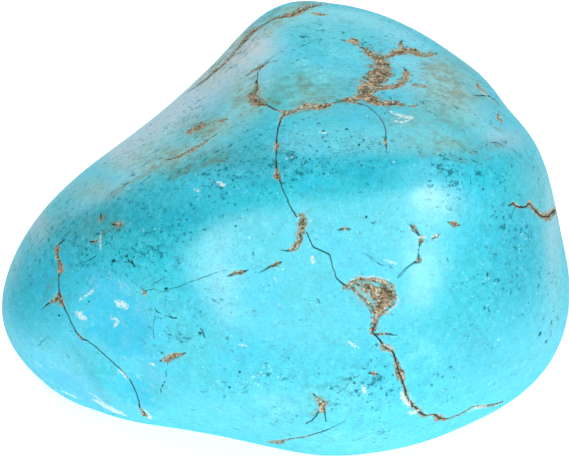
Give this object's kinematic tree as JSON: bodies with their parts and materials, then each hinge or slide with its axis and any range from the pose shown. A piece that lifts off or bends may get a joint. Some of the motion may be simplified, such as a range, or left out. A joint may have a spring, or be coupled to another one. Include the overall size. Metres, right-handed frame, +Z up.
{
  "type": "raw turquoise nugget",
  "caption": "Tumbled turquoise nugget, one solid blue-green stone with pits, chips and grooves of brown matrix, lying on its flat underside",
  "frame": {"origin": "on the floor, under the middle of the stone's box", "axes": "+X along the stone's length, towards its high round end; +Y from the broad front face to the back; +Z up from the worn flat that it rests on"},
  "size_m": [0.0452, 0.0374, 0.0281],
  "materials": {
    "turquoise": "polished waxy sheen, sky blue to blue-green, with matt brown matrix in veins and pockets"
  },
  "bodies": {
    "root": {"nugget": "turquoise"}
  },
  "joints": []
}
